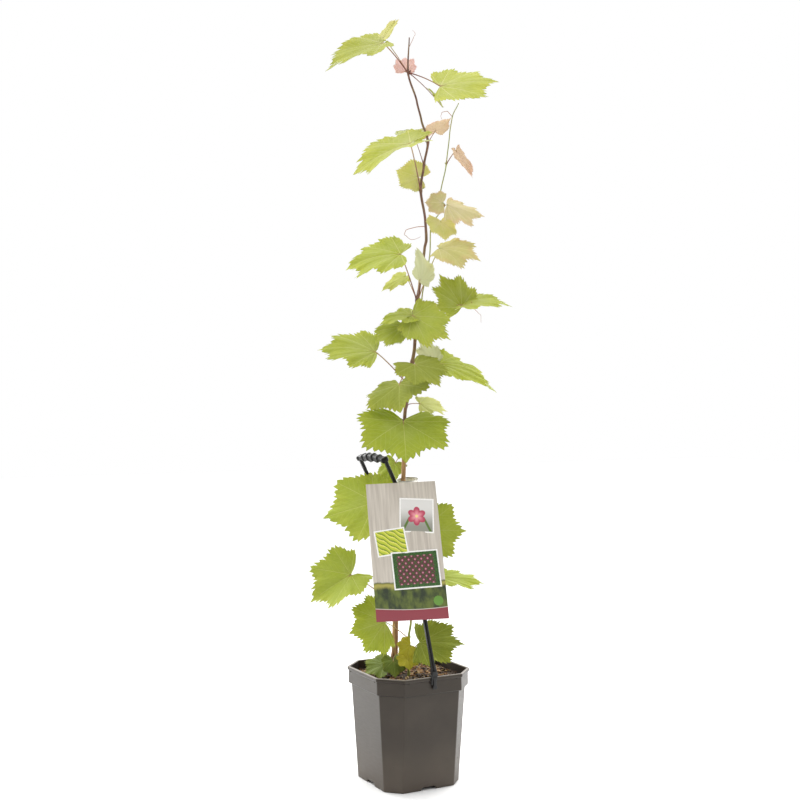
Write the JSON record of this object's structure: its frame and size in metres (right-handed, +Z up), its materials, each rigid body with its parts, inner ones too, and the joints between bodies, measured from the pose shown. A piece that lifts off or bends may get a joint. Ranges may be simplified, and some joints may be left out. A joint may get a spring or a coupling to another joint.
{
  "type": "potted grapevine",
  "caption": "Young climbing vine with lobed leaves on long stalks, in an octagonal nursery pot with a hooped carry handle and a hanging label card.",
  "frame": {"origin": "middle of the pot's underside", "axes": "+Z up the plant; X and Y square to the pot's flat sides; the vine leans back over the -X side's handle"},
  "size_m": [0.3299, 0.2629, 1.3797],
  "materials": {
    "pot": "satin taupe moulded plastic",
    "compost": "coarse bark compost",
    "bark": "rough fibrous bark",
    "cane": "smooth ripening cane",
    "shoot": "smooth green shoot",
    "foliage": "soft matt leaf",
    "handle": "black moulded plastic",
    "card": "coated card"
  },
  "bodies": {
    "root": {"pot": "pot", "soil": "compost", "trunk": "bark", "cane_lower": "cane", "cane_upper": "cane", "side_shoot": "shoot", "basal_shoot": "shoot", "leaves_tip_left": "foliage", "leaf_tip_pink": "foliage", "leaves_tip_right": "foliage", "leaf_young_peach": "foliage", "leaf_upper_left": "foliage", "leaf_upper_back": "foliage", "leaf_side_pink": "foliage", "leaf_side_small": "foliage", "leaf_side_right": "foliage", "leaf_side_low": "foliage", "leaves_middle_left": "foliage", "leaves_middle_right": "foliage", "leaves_middle_far_right": "foliage", "leaves_middle_front": "foliage", "leaf_middle_low_left": "foliage", "leaf_lower_left": "foliage", "leaves_lower_right": "foliage", "leaf_lower_front": "foliage", "leaf_lower_cover": "foliage", "leaf_big_front": "foliage", "leaf_big_behind": "foliage", "leaf_handle_small": "foliage", "leaf_label_left": "foliage", "leaf_label_right": "foliage", "leaf_low_left": "foliage", "leaf_low_right": "foliage", "leaf_foot_left": "foliage", "leaf_foot_right": "foliage", "leaf_foot_young": "foliage", "leaf_foot_yellow": "foliage", "leaf_foot_dark": "foliage", "leaf_foot_rim": "foliage", "leaf_back_upper": "foliage", "leaf_back_middle": "foliage", "leaf_back_lower": "foliage", "leaf_back_big": "foliage", "leaf_back_label_high": "foliage", "leaf_back_label_low": "foliage", "leaf_back_foot": "foliage", "label_card": "card", "label_strap": "card", "handle_grip": "handle", "handle_leg_front": "handle", "handle_clip_front": "handle", "handle_leg_back": "handle", "handle_clip_back": "handle"}
  },
  "joints": []
}
